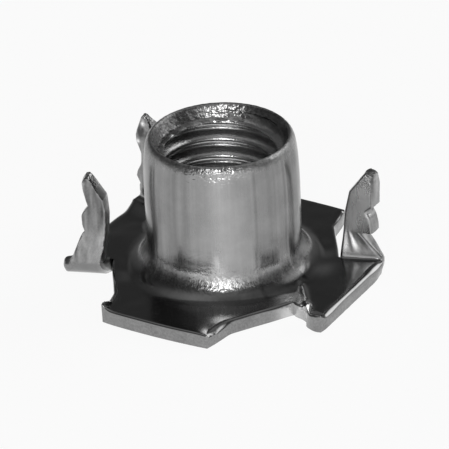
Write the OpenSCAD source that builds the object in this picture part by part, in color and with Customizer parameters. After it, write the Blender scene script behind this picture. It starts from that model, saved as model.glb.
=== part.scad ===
// Pronged tee nut, stamped and drawn from one piece of sheet steel.
// Millimetres. The bore axis is Z and the flange's underside lies on z = 0.

/* [Sheet] */
// Thickness of the sheet
sheet = 1.25; // [1:0.05:1.6]

/* [Barrel] */
// Outside diameter of the barrel
barrel_d = 12; // [10.5:0.1:14.5]
// Height from the flange's underside to the rim
overall_h = 12.1; // [9.5:0.1:16]
// Diameter of the rim's crest, where the barrel closes in a little
rim_d = 11.1; // [10.3:0.05:12]
// Height over which the barrel closes in to the rim
rim_h = 1.1; // [0.6:0.1:1.8]
// Radius of the fillet between the flange and the barrel
root_r = 1.6; // [0.8:0.1:2.2]
// Diameter of the bore, at the crests of the thread
bore_d = 8.5; // [6.8:0.05:9.2]
// Depth of the countersink in the rim
sink_h = 0.85; // [0.3:0.05:1.5]
// Radius that the sheet was drawn in by, on the underside
entry_r = 1.1; // [0.4:0.1:1.6]

/* [Flange] */
// Width across the two sides that carry the prongs
flange_x = 22.7; // [21:0.1:28]
// Width across the two plain sides, at their corners
flange_y = 22.1; // [21:0.1:28]
// Length of a plain side
plain_l = 9.3; // [7:0.1:10.6]
// How far a plain side bows out in its middle
plain_bow = 0.18; // [0.05:0.01:0.4]
// Where the slit beside a prong turns, from the middle of the flange
slit_x = 5.1; // [4.7:0.05:5.9]
slit_y = 8.3; // [7.6:0.05:9.2]
// Radius of that turn
slit_r = 0.9; // [0.3:0.1:1.4]
// Where the fold of a prong meets the flange's side
fold_y = 4.86; // [4.2:0.02:5.6]
// Slant of the fold
fold_slant = 19; // [5:1:28]

/* [Prongs] */
// Width of a prong at its fold
prong_w = 3.45; // [2.8:0.05:4]
// Inside radius of the fold
bend_r = 0.45; // [0.2:0.05:0.8]
// Height of the lower notch above the flange, where a prong's blade begins
notch_z = 2.7; // [1.8:0.05:2.8]
// Heights of the lower and upper barb above the flange
low_barb_z = 3; // [2.9:0.05:3.4]
high_barb_z = 5.45; // [5.2:0.05:6.1]
// Depths of the notches under them
low_notch = 0.32; // [0.1:0.02:0.7]
high_notch = 0.52; // [0.1:0.02:0.7]
// Height of the edge between the lower barb and the slope to the upper notch
barb_side = 0.9; // [0.4:0.05:1.2]
// How far the upper notch drops below its barb
barb_drop = 0.62; // [0.3:0.02:0.8]
// Set-back and height of the shoulder, where the smooth edge turns to the point
shoulder_in = 0.32; // [0:0.02:0.6]
shoulder_z = 5.95; // [5:0.05:6.6]
// Set-back of the point from the barbs
point_in = 0.2; // [0:0.02:0.6]
// Radius of the point
point_r = 0.28; // [0.1:0.02:0.36]
// How far the foot narrows at its outer end, within the fold
foot_in = 0.55; // [0:0.05:0.9]
// Angle that is left of the fold whose prong has broken off
stub_angle = 19; // [19:1:30]

/* [Prong at the right] */
// Width of its blade at the barbs
right_w = 2.34; // [1.6:0.02:2.6]
// How far its smooth edge stands out from the inner end of the fold
right_off = 0.16; // [0:0.02:0.6]
// How far its blade has gone in towards the barrel
right_in = 0.3; // [0:0.05:0.8]
// Turn of its blade out of the fold's direction
right_turn = 23; // [0:1:30]
// Lean of its blade towards the outer end of the fold
right_lean = 4.5; // [-6:0.5:8]
// Height of its point above the flange, before it is rounded
right_point = 8.55; // [7.2:0.05:9]

/* [Prong at the back] */
// Width of its blade at the barbs
back_w = 2.2; // [1.6:0.02:2.6]
// How far its smooth edge stands out from the inner end of the fold
back_off = 0.02; // [0:0.02:0.6]
// How far its blade has gone in towards the barrel
back_in = 0.3; // [0:0.05:0.8]
// Turn of its blade out of the fold's direction
back_turn = 14; // [0:1:30]
// Lean of its blade towards the outer end of the fold
back_lean = -1.5; // [-6:0.5:8]
// Height of its point above the flange, before it is rounded
back_point = 8.5; // [7.2:0.05:9]

/* [Prong at the left] */
// Width of its blade at the barbs
left_w = 2.1; // [1.6:0.02:2.6]
// How far its smooth edge stands out from the inner end of the fold
left_off = 0.15; // [0:0.02:0.6]
// How far its blade has gone in towards the barrel
left_in = 0.6; // [0:0.05:0.8]
// Turn of its blade out of the fold's direction
left_turn = 4; // [0:1:30]
// Lean of its blade towards the outer end of the fold
left_lean = -4; // [-6:0.5:8]
// Height of its point above the flange, before it is rounded
left_point = 8; // [7.2:0.05:9]

/* [Hidden] */
$fn = 96;
steel = [0.62, 0.63, 0.64];
seam = 0.02;                          // Height of the slices that a foot is stretched between
barb_set = 0.1;                       // The upper barb stands back from the lower one
lean_x = 0.8;                         // A blade leans about this place on its foot
torn = [0.3, 0.52, 0.46, 0.54, 0.14, 0.2, 0.4];   // How far the torn edge stands out, along the fold
slack = 1;                            // How far a cutting shape reaches past what it cuts
barrel_r = barrel_d / 2;
rim_r = rim_d / 2;
bore_r = bore_d / 2;
close_in = barrel_r - rim_r;
rim_curve_r = (rim_h * rim_h + close_in * close_in) / (2 * close_in);
sink_r = rim_r - 0.12;                // The countersink leaves a narrow land at the crest
half_x = flange_x / 2;
half_y = flange_y / 2;
half_plain = plain_l / 2;
bow_r = (half_plain * half_plain + plain_bow * plain_bow) / (2 * plain_bow);
outer_bend_r = bend_r + sheet;
narrow_from = -0.15;                  // Height, from the flange's top, where a foot begins to narrow
fold_end = [half_x - prong_w * cos(fold_slant), fold_y - prong_w * sin(fold_slant)];

function arc(centre, r, from, to, steps) =
    [for (i = [0:steps]) let (a = from + (to - from) * i / steps)
        centre + r * [cos(a), sin(a)]];

// A corner turned on a radius: the points of its arc, between the points before and after it
function turned(before, corner, after, r, steps) =
    let (
        a = (before - corner) / norm(before - corner),
        b = (after - corner) / norm(after - corner),
        half = acos(a * b) / 2,
        centre = corner + (a + b) / norm(a + b) * r / sin(half),
        start = corner + a * r / tan(half) - centre,
        end = corner + b * r / tan(half) - centre,
        from = atan2(start[1], start[0]),
        swing = (atan2(end[1], end[0]) - from + 540) % 360 - 180
    )
    arc(centre, r, from, from + swing, steps);

// What is punched away at one corner, from the plain side round to the fold
module corner_scrap() {
    plain_end = [half_plain, half_y];
    turn = [slit_x, slit_y];
    polygon(concat(
        [[half_plain, half_y + slack], plain_end],
        turned(plain_end, turn, fold_end, slit_r, 5),
        [fold_end, [half_x, fold_y], [half_x + slack, fold_y], [half_x + slack, half_y + slack]]
    ));
}

// Flat outline of the flange, up to the four folds
module flange_outline() {
    difference() {
        intersection() {
            square([flange_x, flange_y + 2 * plain_bow], center = true);
            translate([0, half_y + plain_bow - bow_r]) circle(bow_r, $fn = 720);
            translate([0, bow_r - half_y - plain_bow]) circle(bow_r, $fn = 720);
        }
        for (x = [0, 1], y = [0, 1]) mirror([x, 0]) mirror([0, y]) corner_scrap();
    }
}

// Half section of the barrel, with the flange's root and before the bore
module barrel_section() {
    difference() {
        square([barrel_r, overall_h]);
        translate([barrel_r - rim_curve_r, overall_h - rim_h]) difference() {
            square(rim_curve_r + slack);
            circle(rim_curve_r);
        }
    }
    difference() {
        square([barrel_r + root_r, sheet + root_r]);
        translate([barrel_r + root_r, sheet + root_r]) circle(root_r);
    }
}

// Half section of all that the punch and the drill take out of the middle
module bore_section() {
    translate([0, -slack]) square([bore_r, overall_h + 2 * slack]);
    polygon([
        [0, overall_h - sink_h],
        [bore_r, overall_h - sink_h],
        [sink_r, overall_h],
        [sink_r, overall_h + slack],
        [0, overall_h + slack]
    ]);
    translate([0, -slack]) difference() {
        square([bore_r + entry_r, slack + entry_r]);
        translate([bore_r + entry_r, slack + entry_r]) circle(entry_r);
    }
}

// Face of a blade: x runs from its smooth edge to its barbs, y is height above the flange
module blade_face(w, point_z) {
    shoulder = [shoulder_in, shoulder_z];
    high_barb = [w - barb_set, high_barb_z];
    polygon(concat(
        [[0, notch_z], [w - low_notch, notch_z], [w, low_barb_z], [w, low_barb_z + barb_side]],
        [[w - high_notch, high_barb_z - barb_drop], high_barb],
        turned(high_barb, [w - point_in, point_z], shoulder, point_r, 4),
        [shoulder]
    ));
}

// Places a prong's own frame at its fold: x in along the fold, y away from the flange, z up
module at_fold() {
    translate([half_x, fold_y, sheet]) rotate(180 + fold_slant) mirror([0, 1]) children();
}

// The fold itself, turned up through an angle
module bend(angle) {
    at_fold() translate([0, 0, bend_r]) rotate([90, 0, 90]) rotate(-90)
        rotate_extrude(angle = angle) translate([bend_r, 0]) square([sheet, prong_w]);
}

// What is left of the fourth prong: the start of its fold, up to a torn edge
module stub() {
    difference() {
        bend(stub_angle);
        at_fold() translate([0, 0, -2 * sheet]) linear_extrude(4 * sheet) polygon(concat(
            [[-slack, torn[0]]],
            [for (i = [0:len(torn) - 1]) [prong_w * i / (len(torn) - 1), torn[i]]],
            [[prong_w + slack, torn[len(torn) - 1]], [prong_w + slack, sheet], [-slack, sheet]]
        ));
    }
}

// Places a blade's own frame: x from its smooth edge to its barbs, y away from the flange
module at_blade(at, inwards, turn) {
    at_fold() translate([at, bend_r - inwards, 0]) rotate(turn) mirror([1, 0]) children();
}

// Leans a face over, about the middle of a blade's foot
module leant(angle) {
    translate([lean_x, 0]) rotate(-angle) translate([-lean_x, 0]) children();
}

// What the foot's narrowing takes off the outer end of the fold
module foot_scrap() {
    at_fold() translate([0, slack + outer_bend_r, 0]) rotate([90, 0, 0])
        linear_extrude(2 * slack + outer_bend_r)
            polygon([
                [-slack, narrow_from],
                [0, narrow_from],
                [foot_in, bend_r],
                [foot_in, 2 * sheet],
                [-slack, 2 * sheet]
            ]);
}

// A prong: the fold, the foot that narrows and turns above it, and the barbed blade
module prong(w, off, inwards, turn, lean, point_z) {
    at = prong_w - off;
    difference() {
        bend(90);
        foot_scrap();
    }
    hull() {
        at_fold() translate([foot_in, bend_r, bend_r]) cube([prong_w - foot_in, sheet, seam]);
        at_blade(at, inwards, turn) translate([0, sheet, 0]) rotate([90, 0, 0])
            linear_extrude(sheet) leant(lean)
                translate([0, notch_z]) square([w - low_notch, seam]);
    }
    at_blade(at, inwards, turn) translate([0, sheet, 0]) rotate([90, 0, 0])
        linear_extrude(sheet) leant(lean) blade_face(w, point_z);
}

module tee_nut() color(steel) {
    difference() {
        union() {
            linear_extrude(sheet) flange_outline();
            rotate_extrude() barrel_section();
        }
        rotate_extrude() bore_section();
    }
    prong(right_w, right_off, right_in, right_turn, right_lean, right_point);
    mirror([1, 0]) prong(back_w, back_off, back_in, back_turn, back_lean, back_point);
    rotate(180) prong(left_w, left_off, left_in, left_turn, left_lean, left_point);
    mirror([0, 1]) stub();
}

tee_nut();
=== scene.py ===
import math

import bmesh
import bpy
import numpy as np
from mathutils import Matrix, Vector, noise


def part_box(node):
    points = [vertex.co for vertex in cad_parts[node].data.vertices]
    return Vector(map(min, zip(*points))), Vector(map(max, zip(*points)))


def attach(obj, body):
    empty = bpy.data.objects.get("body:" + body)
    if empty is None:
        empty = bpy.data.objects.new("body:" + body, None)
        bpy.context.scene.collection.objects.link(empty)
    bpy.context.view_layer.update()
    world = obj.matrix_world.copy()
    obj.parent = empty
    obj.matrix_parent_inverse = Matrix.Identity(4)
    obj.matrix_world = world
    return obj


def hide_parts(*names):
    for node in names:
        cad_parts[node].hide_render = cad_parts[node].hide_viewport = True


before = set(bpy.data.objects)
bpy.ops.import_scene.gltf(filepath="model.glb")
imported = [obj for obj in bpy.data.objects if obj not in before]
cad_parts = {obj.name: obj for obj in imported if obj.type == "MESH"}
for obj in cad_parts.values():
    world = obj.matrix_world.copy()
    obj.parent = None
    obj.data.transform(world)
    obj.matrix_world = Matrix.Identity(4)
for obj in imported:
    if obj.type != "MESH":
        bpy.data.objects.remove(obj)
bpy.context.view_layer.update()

MM = 0.001
_, far_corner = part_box("tee_nut")

# -------- sizes, in millimetres
HALF_X, _, HEIGHT = (float(c) for c in np.array(far_corner) / MM)
SHEET = 1.25
HALF_Y = 11.05  # of the plain sides, at their ends
PLAIN_BOW = 0.18  # how far they bow out from there
HALF_PLAIN = 4.65  # half their length
FOLD_Y = 4.86  # where a fold starts, on the sides that carry the prongs
FOLD_SLANT = math.radians(19)
FOLD_W = 3.45
BEND_R = 0.45
BORE_R = 4.25  # of the thread's crests
ROOT_R = 5.06  # of the thread's roots
PITCH = 1.5
CREST_HEADING = math.radians(120.9)  # a crest passes here at the height CREST_Z
CREST_Z = 9.36

# headings in degrees: where the photo is taken from, and where its main light comes from
CAMERA_SIDE = -59
LIGHT_SIDE = CAMERA_SIDE - 5

# Each prong, in millimetres and degrees.
# Foot: fold is the bend's radius and angle. The fold's outer end stands out by bulge and draws in
# by foot_in; its inner end draws in by gap and is worn by worn_in.
# Blade: at and inwards say where it stands along the fold and in from it, turn and lean how it is
# turned, bow how it curls by (height, angle), thin how much its tip loses, crease how deep its
# crease is.
# Outline: barbs and smooth are its two edges from foot to point, as (set-back, height over the
# flange), and turns are the radii of the corners of barbs.
# Look: painted light, how much lighter its face is painted.
DEFAULTS = dict(gap=0.0, worn_in=0.0, bow=[(0, 0), (9, 0)], crease=0.0, painted_face_light=0)
PRONGS = {
    "right": DEFAULTS | dict(
        fold=(0.2, 71), bulge=0.0, foot_in=0.04,
        width=2.53, at=3.44, inwards=-0.4, turn=23, lean=4.5, thin=0.3, crease=0.085,
        barbs=[(1.08, 2.26), (-0.1, 2.55), (-0.02, 3.15), (0.2, 3.85), (0.56, 4.3), (-0.03, 4.9),
               (0.08, 7.62), (0.5, 7.82)],
        turns=[0.05, 0.06, 1.2, 0.8, 0.1, 0.06],
        smooth=[(0, 2.26), (0.05, 3.82), (0.33, 5.62), (1.56, 7.57), (1.68, 7.82)],
        # painted light on this prong's face
        painted_face_light=2.6,
    ),
    "back": DEFAULTS | dict(
        fold=(BEND_R, 90), bulge=0.05, foot_in=0.2,
        width=2.2, at=2.94, inwards=0.3, turn=14, lean=-2.5, thin=0.7,
        barbs=[(0.45, 2.25), (0.1, 2.85), (0.2, 3.3), (0.56, 4.0), (0.57, 5.0), (0.12, 5.95),
               (0.06, 6.5), (0.18, 7.0), (0.6, 8.2), (0.8, 8.5)],
        turns=[0.08, 0.1, 1.2, 0.8, 0.5, 0.3, 0.3, 0.8],
        smooth=[(0, 2.25), (0.05, 4.2), (0.3, 6.7), (0.72, 7.8), (1.15, 8.5)],
    ),
    "left": DEFAULTS | dict(
        fold=(BEND_R, 90), bulge=0.3, foot_in=0.55, gap=0.3, worn_in=0.28,
        width=2.1, at=3.3, inwards=0.36, turn=4, lean=-4, thin=0.25,
        bow=[(0, 0), (2.4, 0), (2.7, -6), (4.6, -5), (6.0, 7), (9, 7)],
        barbs=[(0.3, 2.65), (0.08, 3.25), (0, 4.05), (0.5, 4.85), (0.28, 5.5), (-0.08, 7.1),
               (0.2, 7.56)],
        turns=[0.15, 0.5, 0.12, 0.12, 0.5],
        smooth=[(0, 2.65), (0.05, 4.2), (0.3, 5.75), (1.42, 7.4), (1.6, 7.56)],
    ),
}
SMOOTH_TURNS = [2.0, 0.35, 0.1]  # the radii of the corners of smooth

scene = bpy.context.scene


def add_object(name, data):
    thing = bpy.data.objects.new(name, data)
    scene.collection.objects.link(thing)
    return thing


# -------- mesh and curves
verts, faces = [], []
cut = set()  # the vertices on a cut wall
painted_light = {}  # how much lighter than the rest a vertex is painted: painted light


def put(points):
    """Adds points and returns their indices."""
    first = len(verts)
    verts.extend(tuple(map(float, p)) for p in points)
    return list(range(first, len(verts)))


def skin(a, b, closed=False):
    """Quads between two rows of the same length."""
    n = len(a)
    for i in range(n if closed else n - 1):
        j = (i + 1) % n
        quad = [a[i], a[j], b[j], b[i]]
        ring = [v for k, v in enumerate(quad) if v != quad[k - 1]]
        if len(set(ring)) >= 3:
            faces.append(ring)


def lerp(a, b, t):
    return np.asarray(a, float) * (1 - t) + np.asarray(b, float) * t


def clamp(t):
    return min(1, max(0, t))


def ease(t):
    return t * t * (3 - 2 * t)


def step(value, start, end):
    """Eases from 0 at the start to 1 at the end."""
    return ease(clamp((value - start) / (end - start)))


def bell(value, middle, width):
    return math.exp(-((value - middle) / width) ** 2)


def spots(table, place):
    """Sum of soft round spots at a place. The table holds (centre, reach, strength)."""
    return sum(strength * bell(math.dist(place, at), 0, reach) for at, reach, strength in table)


def glide(t, soft=0.2):
    """From 0 to 1 at an even pace, but with a soft start and end."""
    if t > 0.5:
        return 1 - glide(1 - t, soft)
    if t < soft:
        return t * t / (2 * soft * (1 - soft))
    return (t - soft / 2) / (1 - soft)


def unit(v):
    v = np.asarray(v, float)
    return v / np.linalg.norm(v)


def ragged(p, scale, seed=0.0):
    """Smooth noise about 0; the scale is in bumps per millimetre."""
    x, y, z = (float(c) * scale for c in p)
    return noise.noise(Vector((x + seed, y, z - seed)))


def resample(path, count, weight):
    """Points along a path, evenly spaced by its length times a weight."""
    path = np.array(path, float)
    lengths = np.linalg.norm(np.diff(path, axis=0), axis=1)
    weights = np.array([weight(p) for p in (path[1:] + path[:-1]) / 2])
    along = np.concatenate([[0], np.cumsum(lengths * weights)])
    want = np.linspace(0, along[-1], count + 1)
    return np.stack([np.interp(want, along, path[:, k]) for k in range(path.shape[1])], 1)


TURN_STEPS = 6
TURN_SHARE = 0.48  # the most of a side that a turn takes


def rounded(path, radii):
    """A path whose inner corners are turned on the radii given."""
    out = [path[0]]
    for i, r in enumerate(radii, 1):
        before, corner, after = (np.array(p, float) for p in path[i - 1:i + 2])
        a, b = unit(before - corner), unit(after - corner)
        half = math.acos(max(-1, min(1, float(a @ b)))) / 2
        shorter = min(np.linalg.norm(before - corner), np.linalg.norm(after - corner))
        reach = min(r / math.tan(half), TURN_SHARE * shorter)
        start, end = corner + a * reach, corner + b * reach
        for k in range(TURN_STEPS + 1):
            t = k / TURN_STEPS
            out.append((1 - t) ** 2 * start + 2 * t * (1 - t) * corner + t * t * end)
    out.append(path[-1])
    return np.array(out, float)


# -------- flange outline
# in the first quadrant: in along a fold, and away from the flange across it
ALONG = np.array([-math.cos(FOLD_SLANT), -math.sin(FOLD_SLANT)])
AWAY = np.array([-math.sin(FOLD_SLANT), math.cos(FOLD_SLANT)])
FOLD_OUT = np.array([HALF_X, FOLD_Y])
FOLD_IN = FOLD_OUT + ALONG * FOLD_W
FRONT_SIGNS = np.array([1, -1])  # of the quadrant of the torn prong
BACK_SIGNS = -FRONT_SIGNS

# points along a quarter of the outline: the prongs' side, the fold, the slit with the plain side
N_SIDE, N_FOLD, N_SLIT = 16, 14, 56
PLAIN_POINTS = 12
# the slit's corners from the fold's inner end on, with the radius of each corner's turn
SLIT_END_X, PLAIN_START_X = 4.3, 4.25
SLIT = [(7.05, 5.44), (6.08, 6.9), (5.16, 8.35), (4.88, 10.1), (HALF_PLAIN, HALF_Y)]
SLIT_TURNS = [3.0, 3.0, 0.9, 3.0, 0.14]
# spots where the points lie denser: centre, reach, how much denser
DENSER = [((HALF_PLAIN, HALF_Y), 0.35, 4.5), (FOLD_IN, 0.8, 1.0)]


def plain_y(x):
    return HALF_Y + PLAIN_BOW * (1 - (x / HALF_PLAIN) ** 2)


def density(p):
    return 1 + spots(DENSER, p)


def quarter():
    """The outline's first quadrant, from the x axis to just before the y axis."""
    side = [np.array([HALF_X, FOLD_Y * i / N_SIDE]) for i in range(N_SIDE)]
    fold = [lerp(FOLD_OUT, FOLD_IN, i / N_FOLD) for i in range(N_FOLD)]
    slit = rounded([FOLD_IN, *SLIT, (SLIT_END_X, plain_y(SLIT_END_X))], SLIT_TURNS)
    plain = [(x, plain_y(x)) for x in np.linspace(PLAIN_START_X, 0, PLAIN_POINTS)]
    return side + fold + list(resample(np.vstack([slit, plain]), N_SLIT, density)[:-1])


QUARTER = quarter()
NQ = len(QUARTER)
N = 4 * NQ
TOP = np.array(QUARTER + [np.array([0, HALF_Y + PLAIN_BOW])])
outline = np.vstack([
    TOP[:-1],
    (TOP * [-1, 1])[:0:-1],
    (TOP * [-1, -1])[:-1],
    (TOP * [1, -1])[:0:-1],
])
# index of each fold's outer and inner end on the outline, and the signs of its quadrant
FOLDS = {
    "right": (N_SIDE, N_SIDE + N_FOLD, (1, 1)),
    "back": (2 * NQ - N_SIDE, 2 * NQ - N_SIDE - N_FOLD, (-1, 1)),
    "left": (2 * NQ + N_SIDE, 2 * NQ + N_SIDE + N_FOLD, (-1, -1)),
}
OUTER_ENDS, INNER_ENDS, _ = zip(*FOLDS.values())

# What is left of the fourth prong, along the fold from its outer end (0) to its inner end (1):
# how far its torn edge stands out from the fold, and how high it rises over the flange
TORN = [(0, 0.3), (0.04, 0.45), (0.12, 0.57), (0.2, 0.62), (0.31, 0.6), (0.4, 0.57), (0.45, 0.48),
        (0.5, 0.28), (0.57, 0.08), (0.73, 0), (0.81, 0.05), (0.9, 0.1), (1, 0)]
RAISED = [(0, 0.2), (0.12, 0.25), (0.3, 0.15), (0.36, 0.4), (0.43, 0.75), (0.5, 0.75), (0.57, 0.45),
          (0.66, 0.1), (0.74, 0), (1, 0)]
# the flange's faces stop this far short of the fold, and this far from its outer end
CLEAR_IN, CLEAR_SIDE = 0.35, 0.3
raised, kept_clear = {}, {}
for k in range(N_FOLD + 1):
    i = N - N_SIDE - k
    t = k / N_FOLD
    kept_clear[i] = outline[i] + (ALONG * CLEAR_SIDE * (1 - t) - AWAY * CLEAR_IN) * FRONT_SIGNS
    outline[i] = outline[i] + AWAY * FRONT_SIGNS * float(np.interp(t, *zip(*TORN)))
    raised[i] = float(np.interp(t, *zip(*RAISED)))
TONGUE_ALONG, TONGUE_OUT = 0.5, 0.36  # where its highest part lies
TONGUE = (FOLD_OUT + ALONG * TONGUE_ALONG * FOLD_W + AWAY * TONGUE_OUT) * FRONT_SIGNS

# the lip that is raised at the front left corner
LIP, LIP_RISE, LIP_WIDTH, LIP_REACH = np.array([-4.8, -10.75]), 0.5, 0.5, 1.2
for i in range(N):
    from_lip = np.linalg.norm(outline[i] - LIP)
    if from_lip < LIP_REACH:
        raised[i] = LIP_RISE * bell(from_lip, 0, LIP_WIDTH)

on_fold = np.zeros(N, bool)
for ends in zip(OUTER_ENDS, INNER_ENDS):
    a, b = sorted(ends)
    on_fold[a + 1:b] = True

inward = np.zeros((N, 2))
for i in range(N):
    t = outline[(i + 1) % N] - outline[i - 1]
    inward[i] = unit([-t[1], t[0]])
for out_i, in_i, signs in FOLDS.values():
    s = np.array(signs)
    side = 1 if in_i > out_i else -1
    inward[out_i] = unit(np.array([-1.0, 0.0]) * s + ALONG * s)
    wall = unit(outline[in_i + side] - outline[in_i])
    inward[in_i] = unit(unit(np.array([-wall[1], wall[0]]) * side) - ALONG * s)

# -------- edges
ROLL = np.radians(np.linspace(0, 90, 7))  # the angles of the rows over a rolled edge
WALL = [0.35, 0.55, 0.75, 0.92, 1.0]  # rows down the cut wall, as shares of its depth
BURR = 0.05
TORN_FROM = 0.5  # the share of the wall from which it is torn
TORN_IN, TORN_ROUGH, TORN_SCALE = 0.02, 0.02, 2.6
WORN_FROM = 0.4  # the share of the wall from which wear draws it in
WORN_END = 1.25  # how much further wear draws in the wall's far corner


def chain(p, d, n, w, h, t, worn):
    """Points round the sheet's edge: from its punched face over the rolled edge, down the cut wall.

    p is where the face would meet the wall, d points from there into the sheet and n through it.
    The roll is w wide and h deep, the sheet t thick, and wear draws the wall's far side in by worn.
    """
    p, d, n = (np.asarray(v, float) for v in (p, d, n))
    points = [p + d * w * (1 - math.sin(a)) + n * h * (1 - math.cos(a)) for a in ROLL]
    for f in WALL:
        drop = h + (t - BURR - h) * f
        torn = TORN_IN + TORN_ROUGH * ragged(p + n * drop, TORN_SCALE) if f > TORN_FROM else 0.0
        wear = worn * (max(0, f - WORN_FROM) / (1 - WORN_FROM)) ** 2
        points.append(p + d * (torn + wear) + n * drop)
    points.append(p + d * (TORN_IN + BURR + WORN_END * worn) + n * t)
    return points


def edge(points):
    """Adds the points of a chain, and remembers which lie on the cut wall."""
    ids = put(points)
    cut.update(ids[len(ROLL) - 1:])
    return ids


# widths of the flange's rolled edge, and the depth of the roll as a share of its width
ROLL_OUTER_END, ROLL_INNER_END = 0.3, 0.16
ROLL_PER_RISE = 0.3
ROLL_PLAIN, PLAIN_FROM_Y = 0.18, 10.9
ROLL_SIDE, ROLL_SIDE_MORE, SIDE_FROM_X = 0.44, 0.26, 11.3
SIDE_WIDEST_Y, SIDE_WIDE_OVER = 3.6, 1.1
ROLL_SLIT, ROLL_SLIT_MORE, ROLL_TORN_SLIT_MORE = 0.28, 0.2, 0.36
SLIT_NARROW_Y, SLIT_WIDE_Y = 7.9, 9.3
ROLL_DEPTH = 0.78
TORN_FROM_X = 8  # the raised points beyond this are the torn prong's


def roll_width(i):
    """Width of the rolled edge at a point of the outline."""
    x, y = outline[i]
    if i in raised and abs(x) > TORN_FROM_X:
        return ROLL_INNER_END + ROLL_PER_RISE * raised[i]
    if i in INNER_ENDS:
        return ROLL_INNER_END
    if i in OUTER_ENDS:
        return ROLL_OUTER_END
    if abs(x) > SIDE_FROM_X:
        return ROLL_SIDE + ROLL_SIDE_MORE * bell(abs(y), SIDE_WIDEST_Y, SIDE_WIDE_OVER)
    if abs(y) > PLAIN_FROM_Y:
        return ROLL_PLAIN
    more = ROLL_TORN_SLIT_MORE if x > 0 > y else ROLL_SLIT_MORE
    return ROLL_SLIT + more * step(abs(y), SLIT_NARROW_Y, SLIT_WIDE_Y)


DOWN = np.array([0, 0, -1.0])
flange_chain, top_edge, low_edge = {}, [], []
for i in range(N):
    if not on_fold[i]:
        t, w = SHEET + raised.get(i, 0), roll_width(i)
        into = [*inward[i], 0]
        flange_chain[i] = edge(chain([*outline[i], t], into, DOWN, w, ROLL_DEPTH * w, t, worn=0.0))
for i in range(N):
    ends = put([[*outline[i], z] for z in (SHEET, 0)]) if on_fold[i] else flange_chain[i]
    top_edge.append(ends[0])
    low_edge.append(ends[-1])
for i in range(N):
    j = (i + 1) % N
    if i in flange_chain and j in flange_chain:
        skin(flange_chain[i], flange_chain[j])

# -------- prongs
BEND_ROWS = 11
NARROW_FROM, NARROW_OVER = 40, 50  # the angles at which a fold's outer end draws in
BULGE_AT, BULGE_OVER = 38, 24  # and stands out
FOOT_ROWS = 16
PACE_STEP = 0.01
BLADE_ROW, BLADE_ROW_LEAST = 0.13, 0.045  # height between a blade's rows: usual and least
LEAN_PIVOT = 0.8  # where a blade's lean pivots, from its smooth edge
CURL_STEP = 0.1
TIP = 1.3  # the height over which a tip thins
UP = np.array([0, 0, 1.0])
OUTWARDS = np.array([*AWAY, 0])


def bend_row(angle, radius, narrow, gap):
    """Concave-face ends, and thickness direction, of the sheet turned up through an angle."""
    reach = OUTWARDS * radius * math.sin(angle) + UP * radius * (1 - math.cos(angle))
    n = OUTWARDS * math.sin(angle) - UP * math.cos(angle)
    outer, inner = FOLD_OUT + ALONG * narrow, FOLD_IN - ALONG * gap
    return np.array([*outer, SHEET]) + reach, np.array([*inner, SHEET]) + reach, n


def place_blade(prong):
    """Functions for the place of a blade's point (across, up) and for its thickness direction."""
    turn, lean = math.radians(prong["turn"]), math.radians(prong["lean"])
    origin = FOLD_OUT + ALONG * prong["at"] + AWAY * (BEND_R - prong["inwards"])
    origin = np.array([*origin, SHEET])
    to_barbs = np.array([*(-ALONG * math.cos(turn) - AWAY * math.sin(turn)), 0])
    away = np.array([*(AWAY * math.cos(turn) - ALONG * math.sin(turn)), 0])
    heights, angles = zip(*prong["bow"])

    def curl(z):
        return math.radians(float(np.interp(z, heights, angles)))

    def point(x, z):
        out, up, level = 0.0, 0.0, 0.0
        while level < z:
            rise = min(CURL_STEP, z - level)
            out += math.sin(curl(level)) * rise
            up += math.cos(curl(level)) * rise
            level += rise
        lx = LEAN_PIVOT + (x - LEAN_PIVOT) * math.cos(lean) + up * math.sin(lean)
        lz = -(x - LEAN_PIVOT) * math.sin(lean) + up * math.cos(lean)
        return origin + to_barbs * lx + away * out + UP * lz

    def through(z):
        return away * math.cos(curl(z)) - UP * math.sin(curl(z))
    return point, through


def foot_rows(prong, base, foot, through):
    """Rows between the end of the fold (base) and the start of the blade (foot), without either."""
    fold_end = prong["fold"][1]
    rows = []
    for k in range(1, FOOT_ROWS):
        t = k / FOOT_ROWS
        ends, slope = [], 0.0
        for low_end, high_end in zip(base, foot):
            shift = float((high_end - low_end) @ OUTWARDS)
            rise = (high_end - low_end)[2]

            def pace(u):
                """Share of the shift that is made at a share of the height."""
                if fold_end == 90:
                    return glide(u)
                steepness = rise / (abs(shift) * math.tan(math.radians(fold_end)))
                return 1 - (1 - u) ** max(1.0, steepness)
            ends.append(lerp(low_end, high_end, t) + OUTWARDS * shift * (pace(t) - t))
            # half of each end's slope, so that the sum is their mean
            slope += shift * (pace(t + PACE_STEP) - pace(t - PACE_STEP)) / (4 * PACE_STEP) / rise
        rows.append((*ends, unit(lerp(OUTWARDS, through, ease(t)) - UP * slope), SHEET))
    return rows


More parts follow.
